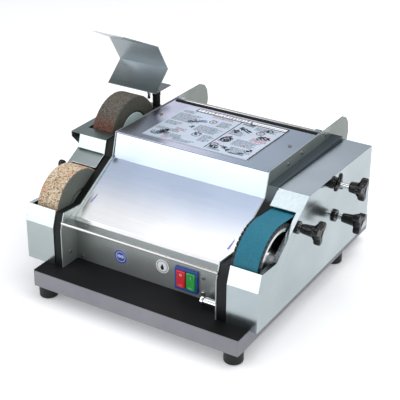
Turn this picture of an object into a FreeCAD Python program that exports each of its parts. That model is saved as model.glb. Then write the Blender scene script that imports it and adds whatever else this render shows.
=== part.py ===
import FreeCAD, Part
import math
import os
import Sketcher

# Bench machine for wet grinding, honing and polishing knives.
# X to the right, Y to the rear, Z up, millimetres.  The design coordinates put
# the front edge of the base board at y = 0, the middle of the board at x = 0
# and the table at z = 0.  Every sub-part's Placement then shifts the assembly
# so that the origin is the bottom centre of the whole machine.

doc = FreeCAD.newDocument("wet_grinding_machine")
sheet = doc.addObject("Spreadsheet::Sheet", "Sizes")
row_no = [0]


class Q(object):
    """A number that remembers the spreadsheet expression it comes from."""

    def __init__(self, value, text):
        self.v = float(value)
        self.t = text

    def _mk(self, other, op, flip=False):
        o = other if isinstance(other, Q) else Q(other, "%.6g" % float(other) if float(other) >= 0 else "(%.6g)" % float(other))
        a, b = (o, self) if flip else (self, o)
        value = {"+": a.v + b.v, "-": a.v - b.v, "*": a.v * b.v, "/": a.v / b.v if b.v else 0.0}[op]
        return Q(value, "(%s %s %s)" % (a.t, op, b.t))

    def __add__(self, o): return self._mk(o, "+")
    def __radd__(self, o): return self._mk(o, "+", True)
    def __sub__(self, o): return self._mk(o, "-")
    def __rsub__(self, o): return self._mk(o, "-", True)
    def __mul__(self, o): return self._mk(o, "*")
    def __rmul__(self, o): return self._mk(o, "*", True)
    def __truediv__(self, o): return self._mk(o, "/")
    def __neg__(self): return Q(-self.v, "(0 - %s)" % self.t)


def val(x):
    return x.v if isinstance(x, Q) else float(x)


def cell(alias, value):
    row_no[0] += 1
    sheet.set("A%d" % row_no[0], alias.replace("_", " "))
    sheet.set("B%d" % row_no[0], "%.6g" % value)
    sheet.setAlias("B%d" % row_no[0], alias)
    return Q(value, "Sizes." + alias)


# ---------------------------------------------------------------- sizes
shift_x = cell("shift_x", -3.5)
shift_y = cell("shift_y", 282)
sheet_t = cell("sheet_thick", 1.5)
foot_rad = cell("foot_radius", 18)
foot_hgt = cell("foot_height", 23)
board_hw = cell("board_half_width", 222)
board_dep = cell("board_depth", 546)
board_top = cell("board_top", 56)
deck_z = cell("deck_level", 58)
body_front = cell("body_front", 34.5)
body_rear = cell("body_rear", 498)
left_rear = cell("left_rear", 404)
brow_z = cell("brow_level", 137.5)
chin_y = cell("chin_y", 45.6)
chin_z = cell("chin_z", 170)
notch_y = cell("notch_y", 97.3)
notch_z = cell("notch_z", 166.2)
knee_y = cell("knee_y", 205.2)
knee_z = cell("knee_z", 225.2)
crest_y = cell("crest_y", 217.9)
crest_z = cell("crest_z", 271.2)
tail_y = cell("tail_y", 531)
tail_z = cell("tail_z", 267)
fin_end = cell("fin_end", 563)
fin_low = cell("fin_low", 205)
plate_t = cell("plate_thick", 2)
left_pl = cell("left_plate_x", -180)
right_pl = cell("right_plate_x", 155)
left_in = cell("left_housing_inner", -197)
left_out = cell("left_housing_outer", -261)
right_in = cell("right_housing_inner", 177)
right_out = cell("right_housing_outer", 239)
hood_y = cell("right_hood_y", 216.2)
hood_z = cell("right_hood_z", 245.5)
hood_rear = cell("right_hood_rear_z", 236.8)
pan_out = cell("left_deck_outer", -272)
pan_top = cell("left_deck_top", 258)
pan_low = cell("left_deck_low", 256.5)
pan_front = cell("left_deck_front", 198)
shaft_y = cell("front_shaft_y", 123.5)
shaft_z = cell("front_shaft_z", 147)
rear_y = cell("rear_shaft_y", 307)
rear_z = cell("rear_shaft_z", 228)
shaft_rad = cell("shaft_radius", 8.5)
run_gap = cell("running_gap", 0.04)
wheel_l = cell("left_wheels_x", -247)
wheel_w = cell("left_wheels_width", 48)
coarse_rad = cell("coarse_wheel_radius", 74)
fine_rad = cell("fine_wheel_radius", 79)
bore_rad = cell("wheel_bore_radius", 25)
tyre_rad = cell("contact_tyre_radius", 75.5)
core_rad = cell("contact_core_radius", 67)
belt_x = cell("belt_left_x", 180)
belt_w = cell("belt_width", 47)
belt_t = cell("belt_thickness", 1.2)
idler_y = cell("idler_y", 430)
idler_z = cell("idler_z", 155.4)
idler_rad = cell("idler_radius", 34.6)
motor_y = cell("motor_y", 320)
motor_z = cell("motor_z", 135)
motor_rad = cell("motor_radius", 62)
panel_y = cell("front_panel_y", 80)
cover_low_z = cell("slope_low_z", 149)
cover_top_y = cell("slope_top_y", 207)
cover_top_z = cell("slope_top_z", 221)
hinge_y = cell("hinge_y", 441)
hinge_z = cell("hinge_z", 262.5)
rod_rad = cell("hinge_rod_radius", 4)
guard_l = cell("guard_left", -311)
guard_r = cell("guard_right", -192)
post_x = cell("post_x", -201)
post_y = cell("post_y", 394)
post_rad = cell("post_radius", 8)
knob_rad = cell("knob_radius", 24)
doc.recompute()

parts = {}
made = []


def bind(obj, prop, q):
    if isinstance(q, Q):
        obj.setExpression(prop, q.t)


def place(obj, label):
    """Label the sub-part and move it into the machine's own frame."""
    obj.Label = label
    obj.Placement = FreeCAD.Placement(FreeCAD.Vector(-shift_x.v, -shift_y.v, 0), FreeCAD.Rotation())
    parts[label] = obj
    return obj


class Body(object):
    """A PartDesign body with sketches on its own origin planes."""

    def __init__(self, label):
        self.label = label
        self.body = doc.addObject("PartDesign::Body", label)
        self.n = 0
        self.feats = []

    def plane(self, role):
        for o in self.body.Origin.OriginFeatures:
            if o.Role == role:
                return o

    def sketch(self, role, offset=0):
        self.n += 1
        sk = self.body.newObject("Sketcher::SketchObject", "%s_sketch%d" % (self.label, self.n))
        sk.AttachmentSupport = [(self.plane(role), "")]
        sk.MapMode = "FlatFace"
        sk.AttachmentOffset = FreeCAD.Placement(FreeCAD.Vector(0, 0, val(offset)), FreeCAD.Rotation())
        bind(sk, "AttachmentOffset.Base.z", offset)
        return sk

    def feature(self, kind, sk, length, reverse=False):
        f = self.body.newObject("PartDesign::" + kind, "%s_%s%d" % (self.label, kind.lower(), self.n))
        f.Profile = sk
        f.Length = val(length)
        bind(f, "Length", length)
        f.Reversed = reverse
        self.feats.append((kind, f))
        return f

    def pad(self, role, offset, outline, length, reverse=False):
        sk = self.sketch(role, offset)
        outline(sk)
        return self.feature("Pad", sk, length, reverse)

    def cut(self, role, offset, outline, length, reverse=True):
        sk = self.sketch(role, offset)
        outline(sk)
        return self.feature("Pocket", sk, length, reverse)

    def turn(self, outline, y, z):
        """Revolve a profile, drawn with x along X and y as the radius, about an X axis through (y, z)."""
        self.n += 1
        sk = self.body.newObject("Sketcher::SketchObject", "%s_sketch%d" % (self.label, self.n))
        sk.AttachmentSupport = [(self.plane("XZ_Plane"), "")]
        sk.MapMode = "FlatFace"
        # the XZ plane's normal points to -Y, so the profile plane sits at -y along it
        sk.AttachmentOffset = FreeCAD.Placement(FreeCAD.Vector(0, val(z), -val(y)), FreeCAD.Rotation())
        bind(sk, "AttachmentOffset.Base.y", z)
        bind(sk, "AttachmentOffset.Base.z", -y if isinstance(y, Q) else -val(y))
        outline(sk)
        f = self.body.newObject("PartDesign::Revolution", "%s_revolution%d" % (self.label, self.n))
        f.Profile = sk
        f.ReferenceAxis = (sk, ["H_Axis"])
        f.Angle = 360.0
        self.feats.append(("Revolution", f))
        return f

    def done(self):
        doc.recompute()
        last = 0.0
        for kind, f in self.feats:
            if kind == "Pocket" and not f.Shape.Volume < last - 1e-3:
                raise RuntimeError("%s: a pocket removed nothing" % f.Name)
            last = f.Shape.Volume
        return place(self.body, self.label)


def coord(sk, geo, pos, x, y):
    """Fix a point of a sketch by its two coordinates, bound to the sheet where they come from it."""
    for name, q, axis in (("DistanceX", x, -2), ("DistanceY", y, -1)):
        if abs(val(q)) < 1e-9:
            sk.addConstraint(Sketcher.Constraint("PointOnObject", geo, pos, axis))
            continue
        i = sk.addConstraint(Sketcher.Constraint(name, geo, pos, val(q)))
        if isinstance(q, Q):
            sk.setExpression("Constraints[%d]" % i, q.t)


def poly(*pts):
    """A closed outline of straight edges."""
    def draw(sk):
        n = len(pts)
        ids = []
        for i in range(n):
            a, b = pts[i], pts[(i + 1) % n]
            ids.append(sk.addGeometry(Part.LineSegment(FreeCAD.Vector(val(a[0]), val(a[1]), 0),
                                                       FreeCAD.Vector(val(b[0]), val(b[1]), 0)), False))
        for i in range(n):
            sk.addConstraint(Sketcher.Constraint("Coincident", ids[i], 2, ids[(i + 1) % n], 1))
        for i in range(n):
            coord(sk, ids[i], 1, pts[i][0], pts[i][1])
    return draw


def ring(x, y, r):
    def draw(sk):
        g = sk.addGeometry(Part.Circle(FreeCAD.Vector(val(x), val(y), 0), FreeCAD.Vector(0, 0, 1), val(r)), False)
        i = sk.addConstraint(Sketcher.Constraint("Radius", g, val(r)))
        if isinstance(r, Q):
            sk.setExpression("Constraints[%d]" % i, r.t)
        coord(sk, g, 3, x, y)
    return draw


def several(*outlines):
    def draw(sk):
        for o in outlines:
            o(sk)
    return draw


def rect(x0, y0, x1, y1):
    return poly((x0, y0), (x1, y0), (x1, y1), (x0, y1))


def solid_of(label, shape):
    """A sub-part whose shape is computed with Part's own functions from the sheet's sizes."""
    f = doc.addObject("Part::Feature", label)
    f.Shape = shape
    return place(f, label)


def V(x, y, z):
    return FreeCAD.Vector(val(x), val(y), val(z))


XA = FreeCAD.Vector(1, 0, 0)
YA = FreeCAD.Vector(0, 1, 0)
ZA = FreeCAD.Vector(0, 0, 1)


def cylx(x0, x1, y, z, r):
    return Part.makeCylinder(val(r), val(x1) - val(x0), V(x0, y, z), XA)


def tube_x(x0, x1, y, z, ro, ri):
    return cylx(x0, x1, y, z, ro).cut(cylx(val(x0) - 1, val(x1) + 1, y, z, ri))


def prism_x(pts, x0, x1):
    w = Part.makePolygon([V(x0, p[0], p[1]) for p in pts] + [V(x0, pts[0][0], pts[0][1])])
    return Part.Face(w).extrude(FreeCAD.Vector(val(x1) - val(x0), 0, 0))


def loop_face(y1, z1, r1, y2, z2, r2, x):
    """The flat outline of a belt round two pulleys, as a face at x."""
    dy, dz = y2 - y1, z2 - z1
    d = math.hypot(dy, dz)
    base = math.atan2(dz, dy)
    off = math.acos((r1 - r2) / d)
    a, b = base + off, base - off

    def pt(cy, cz, r, ang):
        return FreeCAD.Vector(x, cy + r * math.cos(ang), cz + r * math.sin(ang))
    e1 = Part.LineSegment(pt(y1, z1, r1, a), pt(y2, z2, r2, a)).toShape()
    far = Part.Arc(pt(y2, z2, r2, a), pt(y2, z2, r2, base), pt(y2, z2, r2, b)).toShape()
    e2 = Part.LineSegment(pt(y2, z2, r2, b), pt(y1, z1, r1, b)).toShape()
    near = Part.Arc(pt(y1, z1, r1, b), pt(y1, z1, r1, base + math.pi), pt(y1, z1, r1, a)).toShape()
    return Part.Face(Part.Wire([e1, far, e2, near]))


def belt_loop(y1, z1, r1, y2, z2, r2, thick, x0, width):
    outer = loop_face(y1, z1, r1 + thick, y2, z2, r2 + thick, x0).extrude(FreeCAD.Vector(width, 0, 0))
    inner = loop_face(y1, z1, r1, y2, z2, r2, x0 - 1).extrude(FreeCAD.Vector(width + 2, 0, 0))
    return outer.cut(inner)


# ---------------------------------------------------------------- base
b = Body("base_board")
b.pad("XY_Plane", foot_hgt, rect(-board_hw, 0, board_hw, board_dep), board_top - foot_hgt)
doc.recompute()
b.done()

b = Body("base_mat")
b.pad("XY_Plane", board_top, rect(-board_hw + 0.5, 0.5, board_hw - 0.5, board_dep - 0.5), deck_z - board_top)
b.done()

feet = []
for fx, fy in ((-203, 19), (203, 19), (-203, 425), (203, 425)):
    foot = Part.makeCylinder(foot_rad.v, foot_hgt.v, V(fx, fy, 0), ZA)
    foot = foot.makeFillet(2.5, [e for e in foot.Edges if e.Curve.TypeId == "Part::GeomCircle" and e.BoundBox.ZMax < 1])
    feet.append(foot)
solid_of("rubber_feet", Part.makeCompound(feet))

# ---------------------------------------------------------------- side plates with the rear fins
side_profile = [(body_front, deck_z), (body_rear, deck_z), (body_rear, 168), (fin_end - 4, fin_low),
                (fin_end + 1, fin_low + 18), (fin_end - 3, fin_low + 40), (fin_end - 14, fin_low + 54),
                (tail_y, tail_z), (crest_y, crest_z), (knee_y, knee_z), (notch_y, notch_z),
                (chin_y, chin_z), (body_front, brow_z)]
for label, x0 in (("left_side_plate", left_pl), ("right_side_plate", right_pl)):
    b = Body(label)
    b.pad("YZ_Plane", x0, poly(*side_profile), plate_t)
    holes = [ring(shaft_y, shaft_z, 12), ring(hinge_y, hinge_z, rod_rad + 0.05), ring(39.8, 150.5, 3.05)]
    if label.startswith("left"):
        holes.append(ring(rear_y, rear_z, 12))
    b.cut("YZ_Plane", x0, several(*holes), plate_t)
    b.done()

# black partitions between the side plates and the wheel housings
b = Body("left_partition")
b.pad("YZ_Plane", left_in, poly((36.5, deck_z), (left_rear, deck_z), (left_rear, 256.4), (216, 256.4), (204, 221), (97.8, 163), (47, 166.7), (36.5, 137)),
      left_pl - left_in)
b.cut("YZ_Plane", left_in, several(ring(shaft_y, shaft_z, 12), ring(rear_y, rear_z, 12)), left_pl - left_in)
b.done()
b = Body("right_partition")
b.pad("YZ_Plane", right_pl + plate_t, poly((36.5, deck_z), (490, deck_z), (490, 243.5), (212.4, 247.6), (204, 221), (97.8, 163), (47, 166.7), (36.5, 137)),
      right_in - right_pl - plate_t)
b.cut("YZ_Plane", right_pl + plate_t, ring(shaft_y, shaft_z, 12), right_in - right_pl - plate_t)
# a shallow round pocket gives the contact wheel room
b.cut("YZ_Plane", right_in - 5, ring(shaft_y, shaft_z, 79), 6)
b.done()

# ---------------------------------------------------------------- left wheel housing
b = Body("left_housing")
b.pad("YZ_Plane", left_out, poly((body_front, deck_z), (left_rear, deck_z), (left_rear, pan_low), (pan_front + 14.4, pan_low),
                                 (pan_front + 5.2, 224.6), (notch_y, notch_z), (chin_y, chin_z), (body_front, brow_z)),
      left_in - left_out)
# the hollow, open towards the partition and at the top
b.cut("YZ_Plane", left_out + sheet_t,
      poly((body_front + sheet_t, deck_z + sheet_t), (left_rear - sheet_t, deck_z + sheet_t), (left_rear - sheet_t, pan_low + 1),
           (pan_front + 16.3, pan_low + 1), (pan_front + 6.4, 223.2), (notch_y, notch_z - 1.7),
           (chin_y + 1.2, chin_z - 1.7), (body_front + sheet_t, brow_z - 0.2)),
      left_in - left_out)
# wheel slot in the brow and the slope
b.cut("XY_Plane", 150, rect(left_out + 8, chin_y + 1.2, left_in + 1, 172), 60)
b.done()

# the deck: a flat sheet with a cheek folded down on its outer side
b = Body("left_deck")
b.pad("XY_Plane", pan_low, rect(pan_out, pan_front, -190, left_rear + 2), pan_top - pan_low)
doc.recompute()
b.pad("YZ_Plane", pan_out, poly((pan_front, pan_top), (pan_front, 247), (225, 217), (left_rear + 2, 217), (left_rear + 2, pan_top)), sheet_t)
b.cut("XY_Plane", pan_low - 1, rect(-254, 230, -189, 384), 10)
b.cut("YZ_Plane", pan_out - 1, ring(258, 229, 13), 4)
b.done()

# ---------------------------------------------------------------- right belt housing
b = Body("right_housing")
b.pad("YZ_Plane", right_in, poly((body_front, deck_z), (body_rear, deck_z), (body_rear - 4, hood_rear), (hood_y, hood_z),
                                 (notch_y, notch_z), (chin_y, chin_z), (body_front, brow_z)), right_out - right_in)
b.cut("YZ_Plane", right_in - 1,
      poly((body_front + sheet_t, deck_z + sheet_t), (body_rear - sheet_t, deck_z + sheet_t), (body_rear - 4 - sheet_t, hood_rear - sheet_t),
           (hood_y + 0.6, hood_z - sheet_t), (notch_y + 0.6, notch_z - 1.6), (chin_y + 1.2, chin_z - 1.7),
           (body_front + sheet_t, brow_z - 0.2)), right_out - right_in + 1 - sheet_t)
b.cut("XY_Plane", 150, rect(right_in - 1, chin_y + 1.2, right_out - 9.5, 184.5), 90)
b.cut("YZ_Plane", right_out - 3, several(ring(311.5, 233.3, 5.05), ring(331.9, 155.4, 5.05), ring(172.5, 203.4, 5.05)), 5)
b.done()

# ---------------------------------------------------------------- centre body sheets
b = Body("front_panel")
b.pad("XZ_Plane", -(panel_y + sheet_t), rect(left_pl + plate_t, deck_z, right_pl, cover_low_z - 2.2), sheet_t)
b.cut("XZ_Plane", -(panel_y + sheet_t), rect(47.5, 68.5, 92.5, 110.5), sheet_t, True)
b.done()

# polished slope and riser, one bent sheet
n_y, n_z = -0.505 * sheet_t, 0.863 * sheet_t
b = Body("slope_cover")
b.pad("YZ_Plane", left_pl + plate_t + 0.2,
      poly((panel_y - 0.8, cover_low_z), (panel_y - 0.8, cover_low_z - 9), (panel_y - 0.8 + 0.8, cover_low_z - 9),
           (panel_y, cover_low_z - sheet_t), (cover_top_y + 1.2, cover_top_z - sheet_t), (220.6, 268.2),
           (219, 268.2), (cover_top_y, cover_top_z)), right_pl - left_pl - plate_t - 0.4)
b.done()

b = Body("top_cover")
b.pad("YZ_Plane", left_pl + plate_t + 0.3,
      poly((crest_y + 0.5, 269.4), (430, 264.8), (430, 264.8 + sheet_t), (crest_y + 0.5, 269.4 + sheet_t)),
      right_pl - left_pl - plate_t - 0.6)
# folded front lip and side flanges
b.pad("YZ_Plane", left_pl + plate_t + 0.3, poly((222.2, 259), (223.7, 259), (223.7, 269.8), (222.2, 269.8)), right_pl - left_pl - plate_t - 0.6)
b.pad("YZ_Plane", left_pl + plate_t + 0.3, poly((223, 255), (429, 251), (429, 265.4), (223, 269.9)), sheet_t)
b.pad("YZ_Plane", right_pl - 0.3 - sheet_t, poly((223, 255), (429, 251), (429, 265.4), (223, 269.9)), sheet_t)
# two narrow hinge knuckles round the rod, one at each end
for kx in (-175, 140):
    b.pad("YZ_Plane", kx, several(poly((428, 263.4), (hinge_y - 4, hinge_z - 1), (hinge_y - 4, hinge_z + 3), (428, 266))), 12)
doc.recompute()
for kx in (-175, 140):
    b.pad("YZ_Plane", kx, ring(hinge_y, hinge_z, rod_rad + 2.2), 12)
b.cut("YZ_Plane", -176.5, ring(hinge_y, hinge_z, rod_rad + run_gap), 330)
b.done()

# cross rods between the side plates: the hinge rod and the front rest rod
rods = []
for label, y, z, rad in (("hinge_rod", hinge_y, hinge_z, rod_rad), ("front_rod", cell("front_rod_y", 39.8), cell("front_rod_z", 150.5), cell("front_rod_radius", 3))):
    rod = doc.addObject("Part::Cylinder", label)
    bind(rod, "Radius", rad)
    bind(rod, "Height", right_pl + plate_t - left_pl)
    rod.Placement = FreeCAD.Placement(FreeCAD.Vector(0, 0, 0), FreeCAD.Rotation(YA, 90))
    bind(rod, "Placement.Base.x", left_pl)
    bind(rod, "Placement.Base.y", y)
    bind(rod, "Placement.Base.z", z)
    rods.append(rod)
pair = doc.addObject("Part::Compound", "cross_rods")
pair.Links = rods
place(pair, "cross_rods")

b = Body("label_plate")
b.pad("YZ_Plane", -132, poly((238, 270.49), (411, 266.73), (411, 267.43), (238, 271.19)), 232)
b.done()

b = Body("rear_panel")
b.pad("YZ_Plane", left_pl + plate_t, poly((body_rear - 1.5, deck_z), (body_rear, deck_z), (body_rear, 237), (436, 246), (436, 244.5), (body_rear - 1.5, 235.5)),
      right_pl - left_pl - plate_t)
b.cut("XZ_Plane", -(body_rear + 1), several(*([rect(-120, 100 + 14 * i, -20, 105 + 14 * i) for i in range(6)] + [rect(71.9, 84.9, 108.1, 115.1)])), 5)
b.done()

# ---------------------------------------------------------------- switch and badges
b = Body("switch_frame")
b.pad("XZ_Plane", -(panel_y), rect(46, 67, 94, 112), 5)
b.pad("XZ_Plane", -(panel_y), rect(48, 69, 92, 110), 26, True)
b.cut("XZ_Plane", -(panel_y - 5), several(rect(49.8, 71.8, 69.2, 107.2), rect(70.8, 71.8, 90.2, 107.2)), 18, False)
b.done()
for label, x0 in (("stop_button", 50.1), ("start_button", 71.1)):
    b = Body(label)
    b.pad("XZ_Plane", -(panel_y + 9), rect(x0, 72.1, x0 + 18.8, 106.9), 16.5)
    doc.recompute()
    b.done()
badges = [Part.makeCylinder(14, 0.8, V(-76, panel_y, 92), -YA), Part.makeCylinder(13.8, 0.8, V(16.6, panel_y, 100), -YA)]
solid_of("badges", Part.makeCompound(badges))

# ---------------------------------------------------------------- drain valve at the right plate
valve = cylx(118, 155, 62, 70, 7)
valve = valve.fuse(cylx(146, 153.2, 62, 70, 10))
valve = valve.cut(cylx(117, 140, 62, 70, 3.5))
solid_of("drain_valve", valve)
lever = cylx(112, 117.7, 62, 70, 9.5).fuse(Part.makeBox(5.7, 6, 18, V(112, 59, 70)))
solid_of("drain_lever", lever)

# ---------------------------------------------------------------- motor group
motor = cylx(-88, 88, motor_y, motor_z, motor_rad)
for i in range(24):
    ang = 2 * math.pi * i / 24
    slot = Part.makeBox(150, 4, 6, FreeCAD.Vector(-75, -2, motor_rad.v - 4.5))
    slot.rotate(FreeCAD.Vector(0, 0, 0), XA, math.degrees(ang))
    slot.translate(V(0, motor_y, motor_z))
    motor = motor.cut(slot)
motor = motor.cut(cylx(-100, 100, motor_y, motor_z, 9.04))
solid_of("motor_body", motor)
cradle = Part.makeBox(150, 110, 40, V(-75, motor_y.v - 55, deck_z)).cut(cylx(-90, 90, motor_y, motor_z, motor_rad))
solid_of("motor_cradle", cradle)
b = Body("motor_shaft")
b.pad("YZ_Plane", -164, ring(motor_y, motor_z, 9), 262)
b.done()


def pulley(x0, x1, y, z, rim, groove_x, bore):
    """Pulley turned from bar with a groove for each belt."""
    p = cylx(x0, x1, y, z, rim)
    for gx in groove_x:
        p = p.cut(tube_x(gx - 4.3, gx + 4.3, y, z, rim + 2, rim - 5))
    return p.cut(cylx(x0 - 1, x1 + 1, y, z, bore))


solid_of("motor_pulley", pulley(-160, -106, motor_y, motor_z, 26, (-148, -118), 9))
solid_of("front_pulley", pulley(-156, -140, shaft_y, shaft_z, 17.5, (-148,), shaft_rad))
solid_of("rear_pulley", pulley(-126, -110, rear_y, rear_z, 24, (-118,), shaft_rad))
solid_of("drive_belts", Part.makeCompound([belt_loop(shaft_y.v, shaft_z.v, 12.8, motor_y.v, motor_z.v, 21.3, 5, -152, 8),
                                           belt_loop(motor_y.v, motor_z.v, 21.3, rear_y.v, rear_z.v, 19.3, 5, -122, 8)]))

b = Body("front_shaft")
b.pad("YZ_Plane", -257, ring(shaft_y, shaft_z, shaft_rad), 491)
b.done()
b = Body("rear_shaft")
b.pad("YZ_Plane", -257, ring(rear_y, rear_z, shaft_rad), 149)
b.done()
# flanged bearing cartridges on the inner faces of the side plates
bearings = [tube_x(-178, -160, shaft_y, shaft_z, 17, shaft_rad.v + run_gap.v), tube_x(137, 155, shaft_y, shaft_z, 17, shaft_rad.v + run_gap.v)]
rb = tube_x(-178, -130, rear_y, rear_z, 19, shaft_rad.v + run_gap.v).fuse(tube_x(-178, -174, rear_y, rear_z, 23.5, shaft_rad.v + run_gap.v))
solid_of("shaft_bearings", Part.makeCompound(bearings + [rb]))


# ---------------------------------------------------------------- left wheels
def wheel(label, y, z, rad, flange):
    b = Body(label)
    xl, xr = wheel_l, wheel_l + wheel_w
    b.turn(poly((xl, rad - 1.5), (xl + 1.5, rad), (xr - 1.5, rad), (xr, rad - 1.5), (xr, flange + 1), (xr - 5, flange + 1),
                (xr - 5, bore_rad), (xl + 5, bore_rad), (xl + 5, flange + 1), (xl, flange + 1)), y, z)
    b.done()


wheel("coarse_wheel", shaft_y, shaft_z, coarse_rad, 30)
wheel("fine_wheel", rear_y, rear_z, fine_rad, 45)


def flanges(y, z, rad):
    out = []
    mid = wheel_l.v + wheel_w.v / 2
    for s, face in ((-1, wheel_l.v), (1, wheel_l.v + wheel_w.v)):
        a, c = (face, face + 5) if s < 0 else (face - 5, face)
        m0, m1 = (face, mid) if s < 0 else (mid, face)
        f = cylx(a, c, y, z, rad).fuse(cylx(m0, m1, y, z, bore_rad.v))
        out.append(f.cut(cylx(face - 60, face + 60, y, z, shaft_rad.v)))
    return Part.makeCompound(out)


solid_of("coarse_wheel_flanges", flanges(shaft_y, shaft_z, 30))
solid_of("fine_wheel_flanges", flanges(rear_y, rear_z, 45))


def hex_nut(x0, x1, y, z, across, bore):
    pts = []
    for i in range(6):
        a = math.radians(60 * i + 30)
        pts.append((val(y) + across / math.sqrt(3) * math.cos(a), val(z) + across / math.sqrt(3) * math.sin(a)))
    return prism_x(pts, x0, x1).cut(cylx(x0 - 1, x1 + 1, y, z, bore))


solid_of("fine_wheel_nut", hex_nut(-256, -247, rear_y, rear_z, 27, shaft_rad))

# ---------------------------------------------------------------- contact wheel, belt, idler
b = Body("contact_wheel")
xl, xr = belt_x - 5.5, belt_x + belt_w + 0.8
b.turn(poly((xl, shaft_rad), (xr, shaft_rad), (xr, 22), (xr - 14, 24), (xr - 14, core_rad - 8), (xr, core_rad - 6), (xr, core_rad),
            (xl, core_rad), (xl, core_rad - 6), (xl + 18, core_rad - 8), (xl + 18, 24), (xl, 22)), shaft_y, shaft_z)
b.done()

tyre = tube_x(xl, xr, shaft_y, shaft_z, tyre_rad, core_rad)
n_slots = 46
for i in range(n_slots):
    a0 = 360.0 * i / n_slots
    slot = Part.makeBox(60, 3.0, 8, FreeCAD.Vector(-30, -1.5, tyre_rad.v - 4))
    slot.rotate(FreeCAD.Vector(0, 0, tyre_rad.v), ZA, 24)
    slot.rotate(FreeCAD.Vector(0, 0, 0), XA, a0)
    slot.translate(V((val(xl) + val(xr)) / 2, shaft_y, shaft_z))
    tyre = tyre.cut(slot)
solid_of("contact_tyre", tyre)
solid_of("front_shaft_nuts", Part.makeCompound([hex_nut(-256, -247, shaft_y, shaft_z, 27, shaft_rad),
                                                hex_nut(val(xr), 234, shaft_y, shaft_z, 27, shaft_rad)]))
solid_of("grinding_belt", belt_loop(shaft_y.v, shaft_z.v, tyre_rad.v + 0.3, idler_y.v, idler_z.v, idler_rad.v + 0.3, belt_t.v, belt_x.v, belt_w.v))

b = Body("idler_wheel")
b.turn(poly((belt_x, 6.04), (belt_x + belt_w, 6.04), (belt_x + belt_w, 14), (belt_x + belt_w - 8, 15), (belt_x + belt_w - 8, idler_rad - 6),
            (belt_x + belt_w, idler_rad - 5), (belt_x + belt_w, idler_rad), (belt_x, idler_rad), (belt_x, idler_rad - 5),
            (belt_x + 8, idler_rad - 6), (belt_x + 8, 15), (belt_x, 14)), idler_y, idler_z)
b.done()
slider = Part.makeBox(5, 130, 19, V(229, 315, idler_z.v - 9.5))
slider = slider.fuse(cylx(179, 231, idler_y, idler_z, 6)).fuse(cylx(227.2, 231, idler_y, idler_z, 9))
slot_box = Part.makeBox(7, 14, 10.8, V(228, 330.9, idler_z.v - 5.4)).fuse(cylx(228, 235, 344.9, idler_z, 5.4)).fuse(cylx(228, 235, 330.9, idler_z, 5.4))
slider = slider.cut(slot_box)
solid_of("tension_slider", slider)
rail = Part.makeBox(3, 190, 30, V(234.5, 290, idler_z.v - 15))
rail = rail.fuse(Part.makeBox(8.5, 190, 5, V(229, 290, idler_z.v - 15))).fuse(Part.makeBox(8.5, 190, 5, V(229, 290, idler_z.v + 10)))
rail = rail.cut(cylx(230, 240, 331.9, idler_z, 5.1))
solid_of("tension_rail", rail)


# ---------------------------------------------------------------- knobs
def star_head(x0, x1, y, z, rad, bore, lobes=3, turn0=15.0, lobe_r=8.5):
    """Lobed hand knob head: a round hub with rounded arms."""
    core = cylx(x0, x1, y, z, rad * 0.52)
    for i in range(lobes):
        a = math.radians(turn0 + 360.0 * i / lobes)
        cy, cz = val(y) + (rad - lobe_r) * math.cos(a), val(z) + (rad - lobe_r) * math.sin(a)
        core = core.fuse(cylx(x0, x1, cy, cz, lobe_r))
        arm = Part.makeBox(val(x1) - val(x0), rad - lobe_r, 2 * lobe_r * 0.8, FreeCAD.Vector(val(x0), 0, -lobe_r * 0.8))
        arm.rotate(FreeCAD.Vector(0, 0, 0), XA, math.degrees(a))
        arm.translate(FreeCAD.Vector(0, val(y), val(z)))
        core = core.fuse(arm)
    core = core.removeSplitter()
    return core if not bore else core.cut(cylx(val(x0) - 1, val(x1) + 1, y, z, bore))


def neck_x(x0, x1, y, z, ra, rb):
    return Part.makeCone(ra, rb, val(x1) - val(x0), V(x0, y, z), XA)


# tracking adjuster: chrome spindle, star lock nut and knob
ay, az = 311.5, 233.3
solid_of("tracking_spindle", cylx(222, 300, ay, az, 5))
solid_of("tracking_lock_nut", star_head(250, 256.5, ay, az, 21, 5.04, 3, 75.0, 5.0).fuse(
    neck_x(246, 250, ay, az, 11, 12).cut(cylx(240, 258, ay, az, 5.04))))
solid_of("tracking_knob", neck_x(275, 292, ay, az, 10, 11.5).fuse(star_head(291, 304, ay, az, knob_rad.v, 0, 3, 40.0)).cut(cylx(270, 302, ay, az, 5.04)))

for label, y, z, x_in, x_neck, x_head, ang in (("tension_clamp", 331.9, 155.4, 226, 256, 282, 10.0), ("side_clamp", 172.5, 203.4, 232, 248, 273, 30.0)):
    # the threaded stud is moulded into the knob
    stud = cylx(x_in, x_head + 2, y, z, 5)
    if label == "tension_clamp":
        stud = cylx(225.2, 228.7, y, z, 8).fuse(cylx(227, x_head + 2, y, z, 5))
    k = neck_x(x_neck, x_head + 1, y, z, 8.5, 11).fuse(star_head(x_head, x_head + 13, y, z, knob_rad.v, 0, 3, ang))
    solid_of(label + "_knob", k.fuse(stud))
collars = [tube_x(239, 243.5, y, z, 12, 5.1) for y, z in ((331.9, 155.4), (172.5, 203.4), (311.5, 233.3))]
solid_of("knob_collars", Part.makeCompound(collars))

# locking knobs on the left housing
for label, y, z in (("left_front_knob", 172, 182), ("left_rear_knob", 258, 229)):
    k = cylx(-267, -261.3, y, z, 9)
    head = star_head(-284, -272.5, y, z, 22, 0, 3, 90.0)
    k = k.fuse(neck_x(-273, -266, y, z, 11, 8.5)).fuse(head)
    solid_of(label, k)

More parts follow.
